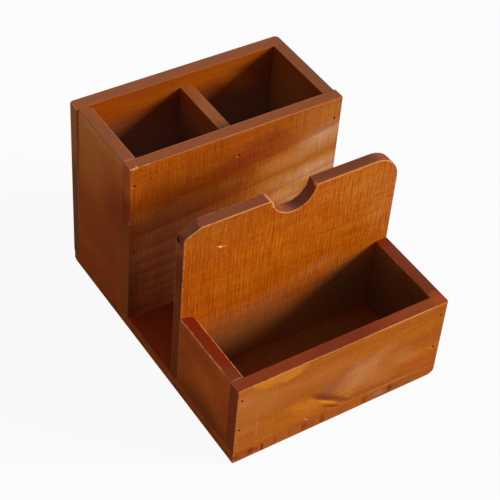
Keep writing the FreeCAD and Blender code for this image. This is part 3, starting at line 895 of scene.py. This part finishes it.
# %% Tall panel
BOARDS["tall_panel"] = dict(
    COMMON, seed=57, ring=2.01, pith=(127, 264.6), lean=(0.1, 0), wobble=0.08, rings=0.28,
    pale="#B35D0C", deep="#A95104", mottle=0.11, chatter=0.18, ends=("#8F3B04", "#5A1E04"),
    # a painted shade colour low on its front, inside the tray
    edges=("#9A4D26", "#93533B"), wear=0.85, inside=(0, -1, 0), shade_tint="#A4602C", shade_tinted=(22, 60),
    marks=[
        ((0, 90), (36, 60), "#9A4406", 0.6), ((1, 85), (2.5, 26), "#A03804", 0.6, 0, 0.8),
        ((126, 118), (24, 16), "#C07218", 0.5), ((142, 98), (16, 36), "#BE6E22", 0.4),
        ((70, 49), (70, 11), "#983E04", 0.7), ((28, 130), (44, 6), "#9A500C", 0.6),
        ((121, 112), (16, 10), "#C0761C", 0.3), ((18, 122), (36, 12), "#A65C0C", 0.6),
        ((100, 120), (18, 12), "#C06E18", 0.4), ((23, 114.6), (3, 1.4), "#8A3408", 0.6, 0, 0.8),
        ((24.8, 111.4), (4.6, 0.55), "#D89058", 0.9, -24, 0.6),  # a chip
        ((24.6, 111.2), (1.2, 0.9), "#F8C498", 1, 0, 0.6),
    ],
    painted_light=[
        # painted sheen low down and along the tray's shadow edge, and painted shade inside it
        ((97, 64), (20, 4.5), "#AC6434", 0.6, 8), ((52, 46), (46, 9), "#A65C30", 0.45, 16),
        ((122, 34), (32, 26), "#705438", 0.75), ((36, 28), (16, 12), "#BC7044", 0.45),
        ((28, 46), (30, 16), "#A45620", 0.4, 10),
    ],
    spots=[
        ((5.4, 69.2, 129.5), (7, 4.4, 4.5), "#A85C24", 0.8),  # the slanting cut
        ((10.8, 67.6, 132), (0.8, 2.6, 1), "#C08050", 0.6),
        ((0, 70.9, 121.8), (3, 2.6, 2.4), "#220A04", 1),  # a hole in the end
        ((0, 69, 116), (0.8, 6, 6), "#A85A28", 0.5), ((0, 69, 98), (0.8, 6, 13), "#7A2C06", 0.6),
        ((56.4, 64.6, 133), (1.6, 0.6, 1.4), "#F0B080", 0.9),  # beside the notch
        ((58.9, 69, 131.4), (1.7, 8, 2.2), "#E8AC74", 1),
        ((59.4, 64.5, 129.6), (0.9, 0.8, 3.4), "#EBB078", 0.8),
        ((64, 68, 121.8), (5.5, 4, 2.6), "#704034", 0.7),  # the notch's foot
        ((89.1, 65.6, 131.2), (0.9, 3, 1.6), "#D89860", 0.8),
        ((112, 70, 132), (30, 5, 3), "#7C3C24", 0.6),  # the top edge
        ((82, 69.5, 119), (5, 4, 4), "#7A3A20", 0.4),
    ],
)
print("spots on it:", len(BOARDS["tall_panel"]["spots"]))

# %% [markdown]
# ## The front of the rear box
#
# This board shows its rings best: dark lines, drawn by a pith that lay well above it. The
# tall panel's cast shadow on its left part has painted shade along its top and painted fill
# light inside, and its right part has a painted sheen, the lit floor's reflection in the
# lacquer. Both could be one even tint, but patches look more natural.

# %% Rear front
BOARDS["rear_front_board"] = dict(
    COMMON, seed=61, ring=3.3075, pith=(125, 226.6), lean=(0.1, 0), bend=(0.0006, 0),
    wobble=0.05, rings=0.66, pale="#A8570D", deep="#9C4B0A", mottle=0.12, chatter=0.14,
    edges=("#AF5B2C", "#9F5A3A"), worn="-y +y +z", wear=0.3, arris="#B0642C", seam=0,
    marks=[
        # painted shade along the top of the panel's cast shadow, and lighter painted patches in it
        ((82, 107), (34, 13), "#763214", 0.7, 10),  # painted shade
        ((44, 95.5), (60, 5), "#8A3608", 0.55, 2), ((14, 104), (26, 12), "#863006", 0.3),
        ((85, 93), (16, 8), "#84360A", 0.55, 10), ((104, 104), (14, 5), "#7E3208", 0.45, 10),
        ((100, 117), (17, 11), "#7E3608", 0.45), ((42, 87), (14, 10), "#B86420", 0.4),
        ((72, 92), (10, 5), "#B06C34", 0.3, 8),
        # pale lips around the brads, with painted highlights on their lit side
        ((2.2, 116.6), (1.3, 0.5), "#D89050", 0.7, -20, 0.8),  # brad lips, painted highlights
        ((75, 112), (1.3, 0.5), "#E09860", 0.7, -20, 0.8),
        ((147, 116), (1, 0.5), "#D89058", 0.5, -20, 0.8),
    ],
    painted_light=[
        # painted sheen on the right part: the lit floor's reflection in the lacquer
        ((142, 118), (30, 18), "#BA782C", 0.6), ((128, 82), (50, 28), "#B87828", 0.85, 6),
        ((140, 105), (22, 10), "#C4946C", 0.75, 10), ((126, 96), (40, 7), "#B67C44", 0.6, 9),
        ((136, 78.5), (34, 7.5), "#CC9A70", 0.85, 6), ((104, 74), (22, 7), "#B87840", 0.5, 6),
        ((122, 86), (40, 3), "#A86024", 0.6, 5), ((115, 63.5), (20, 7), "#CC905C", 0.9),
        ((26, 66), (50, 28), "#CC7848", 0.8, 3),  # painted fill light in the panel's shadow
        ((20, 30), (60, 34), "#CC7448", 0.6), ((0, 78), (10, 30), "#8C3A18", 0.6),
        ((36, 34), (14, 40), "#DC8A64", 0.5),
        ((0, 20), (13, 46), "#5A2A10", 0.8),  # painted shade low in the corner
    ],
    spots=[
        ((75, 135.5, 132), (200, 1.4, 1.4), "#DC9C78", 0.8),  # the inner arris
        ((85, 127.1, 130.8), (74, 0.6, 0.5), "#CC8850", 0.3),  # the front arris
        ((0.8, 127.2, 131.6), (1.2, 1, 1.2), "#D8A070", 0.8),  # chips
        ((2.8, 127.1, 130.9), (0.7, 0.7, 0.6), "#F4CCAC", 1),
        ((5, 128.2, 131), (0.6, 1, 0.6), "#F0C4A4", 1),
        ((3.6, 127.3, 130.9), (3.2, 0.7, 0.6), "#D89868", 0.6),
        ((11.8, 127.1, 130.9), (2.6, 0.6, 0.5), "#D89060", 0.6),
        ((22, 127, 131.6), (0.8, 0.7, 0.5), "#E8B890", 0.9),
        ((0.1, 127, 88.8), (0.5, 0.5, 0.6), "#E8A880", 1),
        ((0, 131, 124), (0.8, 9, 22), "#C06424", 0.6),  # the left end
        ((0, 131, 40), (0.8, 9, 50), "#AE5418", 0.5),
    ],
)
print("patches of haze:", len(BOARDS["rear_front_board"]["painted_light"]))

# %% [markdown]
# ## The rest of the box
#
# These boards are seen from inside or end on. They could share a recipe, but their tones
# differ, and so does the height of the painted shade colour in the pockets.

# %% The rest of the box
BOARDS["rear_back_board"] = dict(
    COMMON, seed=73, pale="#964608", deep="#843606", ends=("#9A541E", "#6A2404"),
    # a painted shade colour low on its inner face, in the pockets' shade
    edges=("#AF5F32", "#9F5D3D"), seam=0, inside=(0, -1, 0), shade_tinted=(66, 119),
    # painted light: the key's light on the right pocket's back wall, and over the overhang's shadow
    marks=[((-1, 66), (1.6, 300), "#A0602C", 0.3, 0, 0.4),
           ((104, 122), (44, 16), "#B45C0C", 0.4),
           ((116, 112), (18, 8), "#C46210", 0.9, -20)],
    spots=[((-1.6, 195, 114), (2, 9, 34), "#C07840", 0.5)],
)
BOARDS["rear_left_side"] = dict(
    SIDE, seed=89, rings=0.05, band=40, fibre=0.14, chatter=0, edges=("#AA5D2E", "#9A593B"),
    # a painted shade colour low on its inner face
    worn="+x +z", wear=0.5, arris="#C08468", seam=0, inside=(1, 0, 0), marked_side=(-1, 0, 0),
    # painted sheen towards the top of this shaded outer side, and painted shade lower down
    marks=[((186, 118), (46, 40), "#CC7A38", 0.7, 20),
           ((165, 130), (60, 8), "#D08C4C", 0.5),
           ((150, 50), (46, 46), "#983E0C", 0.6),
           ((143, 86), (20, 26), "#94340A", 0.8)],
    spots=[((4.5, 135.6, 131), (5, 1.2, 1), "#C88C64", 0.55)],  # painted light over the joint's shade
)
BOARDS["rear_right_side"] = dict(
    SIDE, seed=97, pale="#A04E10", deep="#923E08", edges=("#A2592C", "#92573D"), worn="-x +z",
    # a painted shade colour low on its inner face
    wear=0.3, inside=(-1, 0, 0), shade_tint="#B16F40", shade_tinted=(90, 136),
)
BOARDS["divider"] = dict(
    SIDE, seed=101, edges=("#BA6C2C", "#A4643C"), worn="-x +x +z", wear=0.6, arris="#BC7040",
    # a painted shade colour low on its left face, in the left pocket's shade
    inside=(-1, 0, 0), shade_tint="#8C5C42", shade_tinted=(90, 138),
    spots=[((75, 183, 122), (6, 12, 2), "#98501C", 0.5)],
)
print("recipes:", len(BOARDS))

# %% [markdown]
# ## Dress the boards
#
# Each board's own material goes into the slot of its own mesh, rather than onto a copy, so
# nothing is moved or reshaped.

# %% Dress the boards
def finish_piece(name, material):
    """Gives a CAD piece its material."""
    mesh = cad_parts[name].data
    mesh.materials.clear()
    mesh.materials.append(material)


for name, recipe in BOARDS.items():
    finish_piece(name, stained_pine(name, recipe))
print("boards finished:", len(BOARDS))

# %% [markdown]
# ## Dulled steel brads
#
# The brads are bright wire when new. Punched below the surface and stained over, their
# heads are half metal and half brown film, and from a step away they are dark dots. The
# film could be a coat over bare steel, but at this size a mix of the two is enough.

# %% The brads
RUST_SIZE = 0.4  # mm
RUST_TINTS = ("#5A2412", "#3A1006")
RUST_ROUGH = (0.45, 0.7)
BARE_METAL = 0.5  # the share of it that isn't under the film


def dulled_steel():
    """Steel wire browned by stain and a little rust."""
    material, tree = bare_material("dulled_steel")
    rust = grains(tree, add(tree, "CombineXYZ", place_in_mm(tree)), RUST_SIZE, 3.0)
    brown = add(tree, "MapRange", [rust, 0.35, 0.65, 0.0, 1.0])
    one, other = [linear(tint) for tint in RUST_TINTS]
    colour = add(tree, "Mix", {0: brown, 6: one, 7: other}, **COLOURS)
    rough = add(tree, "MapRange", [rust, *NOISE, *RUST_ROUGH])
    metal = add(tree, "BsdfPrincipled", {"Base Color": colour, "Metallic": BARE_METAL, "Roughness": rough})
    add(tree, "OutputMaterial", {"Surface": metal})
    return material


steel = dulled_steel()
brads = [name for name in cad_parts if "nails" in name]
for name in brads:
    finish_piece(name, steel)
print("groups of brads finished:", len(brads))
